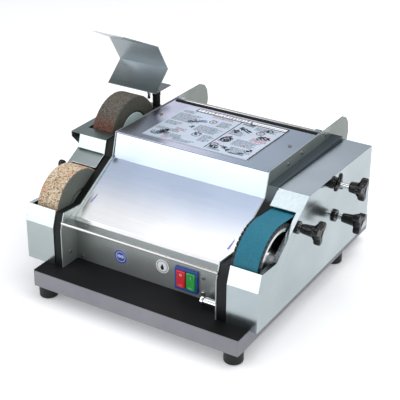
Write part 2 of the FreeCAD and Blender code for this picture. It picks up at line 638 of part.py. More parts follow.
# ---------------------------------------------------------------- splash guard on its post
b = Body("guard_post")
b.pad("XY_Plane", pan_top, ring(post_x, post_y, post_rad), 24)
doc.recompute()
b.pad("XY_Plane", 281, ring(post_x, post_y, 5), 13)
b.done()
clamp = Part.makeCylinder(8.6, 9, V(post_x, post_y, 282.4), ZA).cut(Part.makeCylinder(5.04, 30, V(post_x, post_y, 270), ZA))
solid_of("guard_hub", clamp)
g = [(378, 291.6), (436, 291.6), (436, 293.1), (381.6, 293.1), (425.4, 331.2), (388.6, 390.2), (331.5, 418.5), (330.8, 417.2),
     (387.5, 389.0), (423.5, 331.4), (378.6, 292.9)]
guard = prism_x(g, guard_l, guard_r)
# the lip's right end is cut off at a slant
slant = Part.Face(Part.makePolygon([V(guard_r.v + 1, 386, 380), V(guard_r.v + 1, 320, 380), V(-243, 320, 380), V(-237, 331, 380), V(guard_r.v - 4, 386, 380),
                                    V(guard_r.v + 1, 386, 380)])).extrude(FreeCAD.Vector(0, 0, 60))
guard = guard.cut(slant)
guard = guard.cut(Part.makeCylinder(5.2, 20, V(post_x, post_y, 280), ZA)).removeSplitter()
solid_of("splash_guard", guard)
nozzle = Part.makeCylinder(3.2, 16, V(-214, 386, 275.4), ZA).fuse(Part.makeCylinder(4.6, 4, V(-214, 386, 287.4), ZA)).cut(Part.makeCylinder(1.4, 30, V(-214, 386, 270), ZA))
solid_of("drip_nozzle", nozzle)

# ---------------------------------------------------------------- rear: power inlet, pump
inlet = Part.makeBox(36, 14, 30, V(72, 484, 85)).fuse(Part.makeBox(50, 2.5, 38, V(65, 498, 81)))
inlet = inlet.cut(Part.makeBox(24, 12.1, 18, V(78, 488.5, 91)))
pins = [Part.makeBox(2, 9, 4, V(83 + 6 * i, 488.4, 98 if i == 1 else 95)) for i in range(3)]
for pn in pins:
    inlet = inlet.fuse(pn)
solid_of("power_inlet", inlet)
pump = Part.makeCylinder(24, 60, V(115, 440, deck_z), ZA).fuse(Part.makeBox(30, 20, 12, V(100, 405, deck_z.v + 4)))
solid_of("coolant_pump", pump)


# ---------------------------------------------------------------- screws
def screw(x, y, z, axis, rad, length, head_h):
    """Pan-head screw: its head stands on the sheet and its shank goes in along -axis."""
    ax = FreeCAD.Vector(*axis)
    p = V(x, y, z)
    head = Part.makeCylinder(rad, head_h, p, ax)
    rim = [e for e in head.Edges if e.Curve.TypeId == "Part::GeomCircle" and e.CenterOfMass.distanceToPoint(p) > head_h * 0.5]
    head = head.makeFillet(head_h * 0.6, rim)
    drive = Part.makeBox(rad * 1.1, rad * 0.28, head_h, FreeCAD.Vector(-rad * 0.55, -rad * 0.14, head_h * 0.55))
    cross = drive.fuse(Part.makeBox(rad * 0.28, rad * 1.1, head_h, FreeCAD.Vector(-rad * 0.14, -rad * 0.55, head_h * 0.55)))
    cross.Placement = FreeCAD.Placement(p, FreeCAD.Rotation(ZA, ax))
    return head.cut(cross)


front = [screw(-153, panel_y.v, 134, (0, -1, 0), 3.5, 6, 2), screw(104.5, panel_y.v, 103, (0, -1, 0), 3.5, 6, 2),
         screw(-165, panel_y.v, 66, (0, -1, 0), 3.5, 6, 2), screw(140, panel_y.v, 134, (0, -1, 0), 3.5, 6, 2)]
side = [screw(157, y, z, (1, 0, 0), 3.2, 6, 1.8) for y, z in ((291, 257.5), (348, 258), (453, 256))]
side.append(screw(-178, 59, 83, (1, 0, 0), 3.2, 6, 1.8))
solid_of("sheet_screws", Part.makeCompound(front + side))
tops = [screw(134, 342, 268.3, (0, 0, 1), 3.6, 6, 2), screw(-155, 342, 268.3, (0, 0, 1), 3.6, 6, 2)]
solid_of("cover_screws", Part.makeCompound(tops))

# ---------------------------------------------------------------- check and write
doc.recompute()
bad = [o.Name for o in doc.Objects if "Invalid" in o.State or "Error" in o.State]
if bad:
    raise RuntimeError("failed objects: %s" % bad)
os.makedirs("parts", exist_ok=True)
lo = [1e9] * 3
hi = [-1e9] * 3
for label in sorted(parts):
    shp = parts[label].Shape
    if shp.isNull() or not shp.isValid():
        raise RuntimeError("%s has no valid shape" % label)
    bb = shp.BoundBox
    for i, (a, c) in enumerate(((bb.XMin, bb.XMax), (bb.YMin, bb.YMax), (bb.ZMin, bb.ZMax))):
        lo[i] = min(lo[i], a)
        hi[i] = max(hi[i], c)
    shp.exportStep("parts/%s.step" % label)
    print("%-24s solids %d volume %.0f" % (label, len(shp.Solids), shp.Volume))
print("nodes", len(parts), "box", [round(v, 2) for v in lo], [round(v, 2) for v in hi])
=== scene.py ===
import bpy
import bmesh
import math
import random
from mathutils import Matrix, Vector


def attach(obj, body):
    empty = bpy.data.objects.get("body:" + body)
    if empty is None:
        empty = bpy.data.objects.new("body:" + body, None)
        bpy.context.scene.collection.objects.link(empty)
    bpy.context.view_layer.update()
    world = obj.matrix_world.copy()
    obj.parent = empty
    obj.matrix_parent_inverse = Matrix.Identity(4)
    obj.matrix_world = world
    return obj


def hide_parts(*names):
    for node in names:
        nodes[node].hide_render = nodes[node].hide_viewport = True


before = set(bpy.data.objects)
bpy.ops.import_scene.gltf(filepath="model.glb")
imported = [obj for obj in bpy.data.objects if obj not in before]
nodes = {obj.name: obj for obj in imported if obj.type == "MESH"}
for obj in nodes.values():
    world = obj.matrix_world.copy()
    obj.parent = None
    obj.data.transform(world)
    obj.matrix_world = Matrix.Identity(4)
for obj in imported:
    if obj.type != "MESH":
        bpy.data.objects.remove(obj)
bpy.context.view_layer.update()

# The design drawing's millimetres: x from the board's middle, y from its front edge, z from the table.
SX, SY = 3.5, -282.0


def D(x, y, z):
    return Vector(((x + SX) / 1000.0, (y + SY) / 1000.0, z / 1000.0))


scene = bpy.context.scene
root = scene.collection

# ------------------------------------------------------------------ camera
cam_data = bpy.data.cameras.new("view_camera")
cam = bpy.data.objects.new("view_camera", cam_data)
root.objects.link(cam)
cam_data.lens = 98.61
cam_data.sensor_width = 36.0
cam_data.clip_start = 0.05
cam_data.clip_end = 60.0
cam.matrix_world = Matrix(((0.85454211, -0.24432844, 0.45832455, 0.9649),
                           (0.51930705, 0.3869339, -0.76197267, -1.6424),
                           (0.00883029, 0.8891489, 0.45753279, 1.1224),
                           (0.0, 0.0, 0.0, 1.0)))
scene.camera = cam
scene.view_settings.view_transform = "Standard"

# ------------------------------------------------------------------ materials
MATS = {}


def base_mat(name):
    m = bpy.data.materials.new(name)
    m.use_nodes = True
    t = m.node_tree
    b = next(n for n in t.nodes if n.type == "BSDF_PRINCIPLED")
    MATS[name] = m
    return m, t, b


def coords(t, scale=(1, 1, 1), rot=(0, 0, 0)):
    c = t.nodes.new("ShaderNodeTexCoord")
    p = t.nodes.new("ShaderNodeMapping")
    p.inputs["Scale"].default_value = scale
    p.inputs["Rotation"].default_value = rot
    t.links.new(c.outputs["Object"], p.inputs["Vector"])
    return p.outputs["Vector"]


def noise(t, vec, scale, detail=4.0, rough=0.55):
    n = t.nodes.new("ShaderNodeTexNoise")
    n.inputs["Scale"].default_value = scale
    n.inputs["Detail"].default_value = detail
    n.inputs["Roughness"].default_value = rough
    t.links.new(vec, n.inputs["Vector"])
    return n.outputs["Fac"]


def ramp(t, fac, stops):
    r = t.nodes.new("ShaderNodeValToRGB")
    el = r.color_ramp.elements
    while len(el) < len(stops):
        el.new(0.5)
    for e, (p, c) in zip(el, stops):
        e.position = p
        e.color = (c[0], c[1], c[2], 1.0)
    t.links.new(fac, r.inputs["Fac"])
    return r.outputs["Color"]


def remap(t, fac, a, b, lo=0.0, hi=1.0):
    m = t.nodes.new("ShaderNodeMapRange")
    m.inputs["From Min"].default_value = lo
    m.inputs["From Max"].default_value = hi
    m.inputs["To Min"].default_value = a
    m.inputs["To Max"].default_value = b
    t.links.new(fac, m.inputs["Value"])
    return m.outputs["Result"]


def mixc(t, fac, a, b, mode="MIX"):
    m = t.nodes.new("ShaderNodeMix")
    m.data_type = "RGBA"
    m.blend_type = mode
    for sock, v in ((m.inputs[0], fac), (m.inputs[6], a), (m.inputs[7], b)):
        if hasattr(v, "is_linked"):
            t.links.new(v, sock)
        elif isinstance(v, (tuple, list)):
            sock.default_value = (v[0], v[1], v[2], 1.0)
        else:
            sock.default_value = v
    return m.outputs[2]


def bump(t, bsdf, height, strength, distance):
    b = t.nodes.new("ShaderNodeBump")
    b.inputs["Strength"].default_value = strength
    b.inputs["Distance"].default_value = distance
    t.links.new(height, b.inputs["Height"])
    t.links.new(b.outputs["Normal"], bsdf.inputs["Normal"])
    return b


def gradient(t, axis, a, b):
    """0 at coordinate a, 1 at b along one axis of the row frame, in metres."""
    c = t.nodes.new("ShaderNodeTexCoord")
    s = t.nodes.new("ShaderNodeSeparateXYZ")
    t.links.new(c.outputs["Object"], s.inputs["Vector"])
    m = t.nodes.new("ShaderNodeMapRange")
    m.interpolation_type = "SMOOTHSTEP"
    m.inputs["From Min"].default_value = a
    m.inputs["From Max"].default_value = b
    t.links.new(s.outputs["XYZ".index(axis)], m.inputs["Value"])
    return m.outputs["Result"]


def metal(name, base, rough, stretch=(6, 500, 500), var=0.06, metallic=1.0, bump_d=0.00002, painted_light=None, spread=0.06):
    """Brushed sheet: fine drawn lines along one axis, soft cloudy stains and small scratches; optional gradients along
    an axis multiply the colour as painted shade, reflection and highlight.
    """
    m, t, b = base_mat(name)
    b.inputs["Metallic"].default_value = metallic
    lines = noise(t, coords(t, stretch), 1.0, 6.0, 0.6)
    cloud = noise(t, coords(t), 9.0, 3.0, 0.5)
    dark = tuple(c * (1 - spread * 2.2) for c in base)
    lite = tuple(min(1.0, c * (1 + spread)) for c in base)
    col = ramp(t, cloud, ((0.3, dark), (0.7, lite)))
    fine = ramp(t, lines, ((0.35, (0.965, 0.965, 0.965)), (0.65, (1.0, 1.0, 1.0))))
    col = mixc(t, 1.0, col, fine, "MULTIPLY")
    # painted light: each gradient darkens or lightens the base colour along one axis, standing in for shade and
    # reflections
    if painted_light:
        for axis, a, e, ca, cb in painted_light:
            g = gradient(t, axis, a, e)
            painted_light_factor = mixc(t, g, ca, cb)
            col = mixc(t, 1.0, col, painted_light_factor, "MULTIPLY")
    t.links.new(col, b.inputs["Base Color"])
    add = t.nodes.new("ShaderNodeMath")
    add.operation = "ADD"
    t.links.new(remap(t, lines, -var, var, 0.3, 0.7), add.inputs[0])
    t.links.new(remap(t, cloud, rough - var * 0.6, rough + var * 0.6, 0.3, 0.7), add.inputs[1])
    t.links.new(add.outputs[0], b.inputs["Roughness"])
    bump(t, b, lines, 0.12, bump_d)
    return m


def plastic(name, base, rough, grain=700.0, depth=0.00004, coat=0.0, var=0.15, cloud_scale=14.0, spec=0.5):
    """Moulded plastic, paint or rubber with a fine pebble and a faint cloudy wear."""
    m, t, b = base_mat(name)
    b.inputs["Metallic"].default_value = 0.0
    vec = coords(t)
    peb = noise(t, vec, grain, 3.0, 0.5)
    cloud = noise(t, vec, cloud_scale, 4.0, 0.6)
    dark = tuple(c * (1 - var) for c in base)
    lite = tuple(min(1.0, c * (1 + var) + 0.004) for c in base)
    t.links.new(ramp(t, cloud, ((0.3, dark), (0.7, lite))), b.inputs["Base Color"])
    t.links.new(remap(t, cloud, rough - 0.06, rough + 0.08, 0.3, 0.7), b.inputs["Roughness"])
    b.inputs["Coat Weight"].default_value = coat
    b.inputs["Specular IOR Level"].default_value = spec
    b.inputs["Coat Roughness"].default_value = 0.08
    bump(t, b, peb, 0.6, depth)
    return m


def grit(name, stops, cell, rough=0.85, depth=0.0006, accent=None, painted_light=None, metallic=0.0, detail=0.5):
    """Bonded abrasive: random coloured grains over a finer binder texture; optional gradients along an axis multiply
    the colour as painted shade and highlight.
    """
    m, t, b = base_mat(name)
    vec = coords(t)
    v = t.nodes.new("ShaderNodeTexVoronoi")
    v.inputs["Scale"].default_value = cell
    t.links.new(vec, v.inputs["Vector"])
    sep = t.nodes.new("ShaderNodeSeparateColor")
    t.links.new(v.outputs["Color"], sep.inputs["Color"])
    col = ramp(t, sep.outputs[0], stops)
    fine = noise(t, vec, cell * 2.3, 5.0, 0.7)
    speck = ramp(t, fine, ((0.33, (1 - detail, 1 - detail, 1 - detail)), (0.6, (1, 1, 1))))
    col = mixc(t, 1.0, col, speck, "MULTIPLY")
    if accent:
        big = noise(t, vec, 30.0, 3.0, 0.5)
        col = mixc(t, ramp(t, big, ((0.5, (0, 0, 0)), (0.66, (0.55, 0.55, 0.55)))), col, accent)
    # painted light: gradients along one axis darken or lighten the grain colour
    if painted_light:
        for axis, a, e, ca, cb in painted_light:
            col = mixc(t, 1.0, col, mixc(t, gradient(t, axis, a, e), ca, cb), "MULTIPLY")
    t.links.new(col, b.inputs["Base Color"])
    b.inputs["Roughness"].default_value = rough
    b.inputs["Metallic"].default_value = metallic
    b.inputs["Specular IOR Level"].default_value = 0.25
    mixh = t.nodes.new("ShaderNodeMath")
    mixh.operation = "ADD"
    t.links.new(v.outputs["Distance"], mixh.inputs[0])
    t.links.new(fine, mixh.inputs[1])
    bump(t, b, mixh.outputs[0], 0.9, depth)
    return m


RX = SX / 1000.0


def rx(x):
    return (x + SX) / 1000.0


def ry(y):
    return (y + SY) / 1000.0


STEEL = (0.37, 0.425, 0.42)
metal("steel_sheet", (0.40, 0.45, 0.45), 0.20, (6, 300, 300), 0.02)
# painted shade: the side plates' steel darkens towards the back, from Y 430 to 490 mm
metal("steel_plate", (0.40, 0.445, 0.42), 0.26, (300, 6, 300), 0.008, metallic=0.6, bump_d=0.000002,
      painted_light=(("Y", ry(430), ry(490), (1, 1, 1), (0.55, 0.56, 0.54)),))
# painted shade and reflection: the front and rear panel steel darker towards the top and towards the left
metal("steel_front", (0.56, 0.59, 0.585), 0.30, (10, 260, 260), 0.012, metallic=0.72, bump_d=0.000008,
      painted_light=(("Z", 0.072, 0.132, (1.0, 1.0, 1.0), (0.62, 0.64, 0.65)), ("X", rx(-170), rx(-60), (0.62, 0.64, 0.62), (1.0, 1.0, 1.0))))
# painted reflection: the slope near white at its lower fold, turning blue-grey towards the top
metal("steel_slope", (0.88, 0.875, 0.885), 0.20, (6, 260, 260), 0.008, painted_light=(("Y", ry(88), ry(190), (1, 1, 1), (0.55, 0.64, 0.80)),), spread=0.03)
# painted reflection: lavender cast in the lid's base colour, and the lid darker and greener towards the right
metal("steel_top", (0.62, 0.63, 0.73), 0.24, (6, 300, 300), 0.02,
      painted_light=(("X", rx(-40), rx(110), (1, 1, 1), (0.52, 0.62, 0.61)),))
metal("steel_deck", (0.15, 0.185, 0.17), 0.36, (300, 6, 300), 0.03)
# painted shade: the splash guard darker towards its bottom edge
metal("steel_guard", (0.36, 0.40, 0.42), 0.30, (5, 300, 300), 0.03,
      painted_light=(("Z", 0.293, 0.332, (0.34, 0.36, 0.35), (0.95, 0.95, 0.95)),))
# painted light: the right housing gets a lighter, bluer copy of the housing steel than the left one
metal("steel_right", (0.44, 0.505, 0.525), 0.20, (300, 6, 300), 0.03)
metal("polished_rod", (0.50, 0.495, 0.48), 0.16, (40, 600, 600), 0.03)
metal("chrome", (0.86, 0.87, 0.88), 0.09, (300, 300, 300), 0.02, spread=0.02)
metal("alu_turned", (0.74, 0.75, 0.76), 0.22, (900, 60, 60), 0.05)
metal("steel_screw", (0.33, 0.31, 0.27), 0.26, (700, 700, 700), 0.06)
metal("cast_iron", (0.30, 0.31, 0.32), 0.5, (160, 160, 160), 0.1, bump_d=0.0001)
metal("shaft_steel", (0.62, 0.63, 0.64), 0.2, (900, 30, 30), 0.05)
# painted shade: the right partition near black towards the front, slate only on its top
metal("slate_metal", (0.075, 0.10, 0.115), 0.36, (300, 6, 300), 0.03, metallic=0.5,
      painted_light=(("Y", ry(196), ry(214), (0.05, 0.05, 0.05), (1, 1, 1)),))
plastic("board_grey", (0.232, 0.230, 0.260), 0.45, 900.0, 0.00004, var=0.10)
plastic("mat_black", (0.0075, 0.0075, 0.0085), 0.62, 1200.0, 0.00008, var=0.35, spec=0.16)
plastic("rubber_black", (0.010, 0.010, 0.011), 0.45, 900.0, 0.00008, var=0.3, spec=0.3)
plastic("spacer_black", (0.006, 0.0065, 0.007), 0.42, 500.0, 0.00006, var=0.3, spec=0.2)
plastic("knob_black", (0.005, 0.005, 0.006), 0.22, 500.0, 0.00002, coat=0.15, var=0.25, spec=0.25)
plastic("blue_plastic", (0.020, 0.085, 0.38), 0.32, 900.0, 0.00003, coat=0.25)
plastic("red_plastic", (0.78, 0.028, 0.035), 0.30, 900.0, 0.00003, coat=0.3, var=0.08)
plastic("green_plastic", (0.035, 0.42, 0.075), 0.30, 900.0, 0.00003, coat=0.3, var=0.08)
plastic("motor_blue", (0.055, 0.12, 0.19), 0.38, 600.0, 0.00006, coat=0.2)
plastic("drive_rubber", (0.018, 0.018, 0.019), 0.62, 900.0, 0.0001, var=0.3)
plastic("tyre_rubber", (0.012, 0.013, 0.014), 0.48, 900.0, 0.0001, var=0.3)
plastic("flange_cyan", (0.50, 0.63, 0.62), 0.34, 500.0, 0.00003, coat=0.1, var=0.08)
plastic("ink_dark", (0.012, 0.014, 0.020), 0.60, 900.0, 0.00001, var=0.2, spec=0.06)
plastic("ink_grey", (0.07, 0.085, 0.105), 0.60, 900.0, 0.00001, var=0.25, spec=0.06)
plastic("ink_blue", (0.10, 0.165, 0.26), 0.60, 900.0, 0.00001, var=0.25, spec=0.06)
plastic("ink_mid", (0.13, 0.165, 0.20), 0.60, 900.0, 0.00001, var=0.2, spec=0.06)
plastic("ink_red", (0.66, 0.035, 0.085), 0.60, 900.0, 0.00001, var=0.1, spec=0.06)
plastic("ink_violet", (0.30, 0.29, 0.60), 0.60, 900.0, 0.00001, var=0.15, spec=0.06)
plastic("print_white", (0.86, 0.87, 0.88), 0.35, 900.0, 0.00001, var=0.04)
plastic("print_blue", (0.030, 0.095, 0.50), 0.32, 900.0, 0.00001, coat=0.2, var=0.1)
metal("label_foil", (0.58, 0.66, 0.76), 0.42, (6, 300, 300), 0.04, metallic=0.25)
grit("coarse_grit", ((0.0, (0.20, 0.105, 0.060)), (0.12, (0.46, 0.27, 0.15)), (0.30, (0.72, 0.50, 0.31)),
                     (0.55, (0.84, 0.66, 0.45)), (0.80, (0.93, 0.81, 0.62)), (1.0, (0.98, 0.92, 0.80))),
     430.0, depth=0.0008, accent=(0.62, 0.30, 0.17), detail=0.55)
grit("coarse_side", ((0.0, (0.125, 0.14, 0.125)), (0.5, (0.165, 0.18, 0.16)), (1.0, (0.20, 0.21, 0.185))),
     900.0, depth=0.00015, detail=0.25)
# painted shade: below Z 262 mm the fine wheel's tread turns darker and redder, the lit top band keeps its colour
grit("fine_grit", ((0.0, (0.055, 0.050, 0.042)), (0.35, (0.115, 0.100, 0.085)), (0.7, (0.17, 0.15, 0.128)), (1.0, (0.25, 0.225, 0.19))),
     800.0, depth=0.0004, detail=0.5,
     painted_light=(("Z", 0.262, 0.288, (1.25, 0.66, 0.56), (1.0, 1.0, 1.0)),))
grit("fine_side", ((0.0, (0.060, 0.058, 0.048)), (0.5, (0.095, 0.092, 0.078)), (1.0, (0.13, 0.125, 0.105))),
     900.0, depth=0.0002, detail=0.3)
# painted light: the belt darker and yellower low down, brighter towards the top
grit("belt_blue", ((0.0, (0.010, 0.105, 0.16)), (0.5, (0.018, 0.165, 0.245)), (1.0, (0.035, 0.25, 0.34))),
     1500.0, rough=0.55, depth=0.00015, detail=0.22,
     painted_light=(("Z", 0.09, 0.20, (0.8, 0.72, 0.55), (1.2, 1.12, 1.12)),))


# ------------------------------------------------------------------ CAD nodes: finish and edges
def paint(node, mat):
    o = nodes[node]
    o.data.materials.clear()
    o.data.materials.append(MATS[mat])
    for p in o.data.polygons:
        p.material_index = 0


def soften(node, width, seg=2, angle=28.0):
    """Broken edges on a CAD node: bevel and clean normals, as modifiers, so its own mesh stays as packed."""
    o = nodes[node]
    for p in o.data.polygons:
        p.use_smooth = True
    w = o.modifiers.new("weld", "WELD")
    w.merge_threshold = 0.000005
    b = o.modifiers.new("edge", "BEVEL")
    b.width = width / 1000.0
    b.segments = seg
    b.limit_method = "ANGLE"
    b.angle_limit = math.radians(angle)
    b.use_clamp_overlap = True
    n = o.modifiers.new("normals", "WEIGHTED_NORMAL")
    n.weight = 60
    n.keep_sharp = False


FINISH = {
    "base_board": "board_grey", "base_mat": "mat_black", "rubber_feet": "rubber_black",
    "left_side_plate": "steel_plate", "right_side_plate": "steel_plate",
    "left_partition": "spacer_black", "right_partition": "slate_metal",
    "left_housing": "steel_sheet", "right_housing": "steel_right", "left_deck": "steel_deck",
    "front_panel": "steel_front", "slope_cover": "steel_slope", "top_cover": "steel_top",
    "rear_panel": "steel_front", "cross_rods": "polished_rod", "label_plate": "label_foil",
    "switch_frame": "blue_plastic", "stop_button": "red_plastic", "start_button": "green_plastic", "badges": "print_white",
    "drain_valve": "chrome", "drain_lever": "chrome", "motor_body": "motor_blue", "motor_cradle": "cast_iron",
    "motor_shaft": "shaft_steel", "motor_pulley": "alu_turned", "front_pulley": "alu_turned", "rear_pulley": "alu_turned",
    "drive_belts": "drive_rubber", "front_shaft": "shaft_steel", "rear_shaft": "shaft_steel", "shaft_bearings": "cast_iron",
    "coarse_wheel": "coarse_grit", "fine_wheel": "fine_grit", "coarse_wheel_flanges": "coarse_side",
    "fine_wheel_flanges": "flange_cyan", "fine_wheel_nut": "steel_screw", "contact_wheel": "alu_turned",
    "contact_tyre": "tyre_rubber", "front_shaft_nuts": "steel_screw", "grinding_belt": "belt_blue",
    "idler_wheel": "alu_turned", "tension_slider": "shaft_steel", "tension_rail": "cast_iron",
    "tracking_spindle": "chrome", "tracking_lock_nut": "knob_black", "tracking_knob": "knob_black",
    "tension_clamp_knob": "knob_black", "side_clamp_knob": "knob_black", "knob_collars": "knob_black",
    "left_front_knob": "knob_black", "left_rear_knob": "knob_black", "guard_post": "rubber_black",
    "guard_hub": "rubber_black", "splash_guard": "steel_guard", "drip_nozzle": "chrome", "power_inlet": "rubber_black",
    "coolant_pump": "rubber_black", "sheet_screws": "steel_screw", "cover_screws": "steel_screw",
}
for n in nodes:
    if n not in FINISH:
        raise RuntimeError("no finish for CAD node " + n)
    paint(n, FINISH[n])
for n, w in (("base_board", 1.2), ("base_mat", 0.5), ("left_side_plate", 0.45), ("right_side_plate", 0.45),
             ("left_housing", 0.9), ("right_housing", 1.4), ("left_deck", 0.7), ("front_panel", 0.3),
             ("slope_cover", 0.6), ("top_cover", 0.4), ("rear_panel", 0.4), ("label_plate", 0.2), ("switch_frame", 1.0),
             ("left_partition", 0.6), ("right_partition", 0.6), ("guard_post", 0.5), ("guard_hub", 0.5),
             ("power_inlet", 0.6), ("coolant_pump", 1.0), ("drain_lever", 0.8), ("drain_valve", 0.5),
             ("tension_slider", 0.4), ("tension_rail", 0.4), ("front_shaft", 0.6), ("rear_shaft", 0.6),
             ("fine_wheel_nut", 0.5), ("front_shaft_nuts", 0.5), ("coarse_wheel_flanges", 0.8), ("fine_wheel_flanges", 0.8),
             ("knob_collars", 0.7), ("splash_guard", 0.25), ("motor_cradle", 0.8), ("grinding_belt", 0.25)):
    soften(n, w, 2, 8.0 if n in ("left_housing", "right_housing", "splash_guard") else 28.0)


# ------------------------------------------------------------------ mesh helpers
def piece(name, bm, mats, body, replace=(), smooth=True, auto=None):
    bmesh.ops.recalc_face_normals(bm, faces=bm.faces)
    me = bpy.data.meshes.new(name)
    bm.to_mesh(me)
    bm.free()
    o = bpy.data.objects.new(name, me)
    root.objects.link(o)
    for m in mats:
        me.materials.append(MATS[m])
    for p in me.polygons:
        p.use_smooth = smooth
    if auto is not None:
        # keep folds crisper than the given angle
        bm2 = bmesh.new()
        bm2.from_mesh(me)
        for e in bm2.edges:
            if len(e.link_faces) == 2 and e.calc_face_angle(0.0) > math.radians(auto):
                e.smooth = False
        bm2.to_mesh(me)
        bm2.free()
    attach(o, body)
    if replace:
        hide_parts(*replace)
    return o


def turned(bm, profile, cy, cz, seg, mat=0, mats=None, jitter=None, closed=False):
    """Lathe about an X axis through (cy, cz). profile is [(x, r)] in millimetres; r of 0 closes on the axis."""
    rings = []
    for i, (x, r) in enumerate(profile):
        if r <= 1e-6:
            rings.append([bm.verts.new(D(x, cy, cz))])
            continue
        ring = []
        for k in range(seg):
            a = 2 * math.pi * k / seg
            rr, xx = r, x
            if jitter:
                rr, xx = jitter(i, k, x, r)
            ring.append(bm.verts.new(D(xx, cy + rr * math.cos(a), cz + rr * math.sin(a))))
        rings.append(ring)
    count = len(rings)
    for i in range(count if closed else count - 1):
        p, q = rings[i], rings[(i + 1) % count]
        mi = mats[i] if mats else mat
        for k in range(seg):
            j = (k + 1) % seg
            if len(p) == 1 and len(q) == 1:
                continue
            if len(p) == 1:
                f = bm.faces.new((p[0], q[j], q[k]))
            elif len(q) == 1:
                f = bm.faces.new((p[k], p[j], q[0]))
            else:
                f = bm.faces.new((p[k], p[j], q[j], q[k]))
            f.material_index = mi
    return rings


def loft(bm, loops, mat=0, cap=(True, True)):
    """Skin equal-count closed loops of points."""
    vs = [[bm.verts.new(p) for p in lp] for lp in loops]
    n = len(vs[0])
    for a, b in zip(vs, vs[1:]):
        for k in range(n):
            j = (k + 1) % n
            f = bm.faces.new((a[k], a[j], b[j], b[k]))
            f.material_index = mat
    if cap[0]:
        f = bm.faces.new(vs[0][::-1])
        f.material_index = mat
    if cap[1]:
        f = bm.faces.new(vs[-1])
        f.material_index = mat
    return vs


# ------------------------------------------------------------------ abrasive wheels
def abrasive_wheel(name, node, body, cy, cz, rad, flange, x0, w, grain, seed, mats):
    rnd = random.Random(seed)
    seg = 300
    tread = 30
    side = 10
    prof, kinds = [], []
    for i in range(side):
        r = flange + 1.2 + (rad - 2.2 - flange - 1.2) * i / (side - 1)
        prof.append((x0, r)); kinds.append("s")
    for i in range(tread + 1):
        x = x0 + 0.9 + (w - 1.8) * i / tread
        r = rad - 0.05 - (0.9 if i in (0, tread) else 0.0)
        prof.append((x, r)); kinds.append("t")
    for i in range(side):
        r = rad - 2.2 - (rad - 2.2 - flange - 1.2) * i / (side - 1)
        prof.append((x0 + w, r)); kinds.append("s")
    # inner recess towards the flanges
    prof.append((x0 + w - 5, flange + 1.2)); kinds.append("i")
    prof.append((x0 + 5, flange + 1.2)); kinds.append("i")
    cells = {}

    def jit(i, k, x, r):
        kind = kinds[i]
        if kind == "t":
            key = (i // 1, k // 1)
            d = cells.get(key)
            if d is None:
                d = rnd.random() ** 2 * grain
                if rnd.random() < 0.05:
                    d += grain * 0.8
                cells[key] = d
            return r - d, x + (rnd.random() - 0.5) * 0.5
        if kind == "s":
            return r + (rnd.random() - 0.5) * 0.3, x + (1 if x < x0 + 1 else -1) * rnd.random() * grain * 0.12
        return r, x
    fm = []
    for i in range(len(prof)):
        a, b = kinds[i], kinds[(i + 1) % len(prof)]
        fm.append(0 if (a == "t" and b == "t") else 1)
    bm = bmesh.new()
    turned(bm, prof, cy, cz, seg, mats=fm, jitter=jit, closed=True)
    return piece(name, bm, mats, body, (node,), smooth=True)


abrasive_wheel("coarse_wheel_stone", "coarse_wheel", "front_spindle", 123.5, 147.0, 74.0, 30.0, -247.0, 48.0, 0.95, 11,
               ["coarse_grit", "coarse_side"])
abrasive_wheel("fine_wheel_stone", "fine_wheel", "rear_spindle", 307.0, 228.0, 79.0, 45.0, -247.0, 48.0, 0.45, 12,
               ["fine_grit", "fine_side"])


# ------------------------------------------------------------------ star knobs
def star_radius(rad, lobe, turn, th):
    """Distance from the axis to the outline of a three-lobed knob in direction th."""
    best = rad * 0.50
    for i in range(3):
        a = math.radians(turn) + 2 * math.pi * i / 3
        d = rad - lobe
        rel = th - a
        # lobe circle
        s = math.sin(rel) * d
        if abs(s) < lobe and math.cos(rel) > 0:
            best = max(best, d * math.cos(rel) + math.sqrt(lobe * lobe - s * s))
        # arm of constant half width
        hw = lobe * 0.80
        if math.cos(rel) > 0:
            rr = min(d / max(1e-6, math.cos(rel)), hw / max(1e-6, abs(math.sin(rel))))
            best = max(best, min(rr, rad))
    return best


def star_outline(rad, lobe, turn, n=96):
    raw = [star_radius(rad, lobe, turn, 2 * math.pi * k / n) for k in range(n)]
    for _ in range(3):
        raw = [0.25 * raw[k - 1] + 0.5 * raw[k] + 0.25 * raw[(k + 1) % n] for k in range(n)]
    top = max(raw)
    return [r * (rad - 0.15) / top for r in raw]


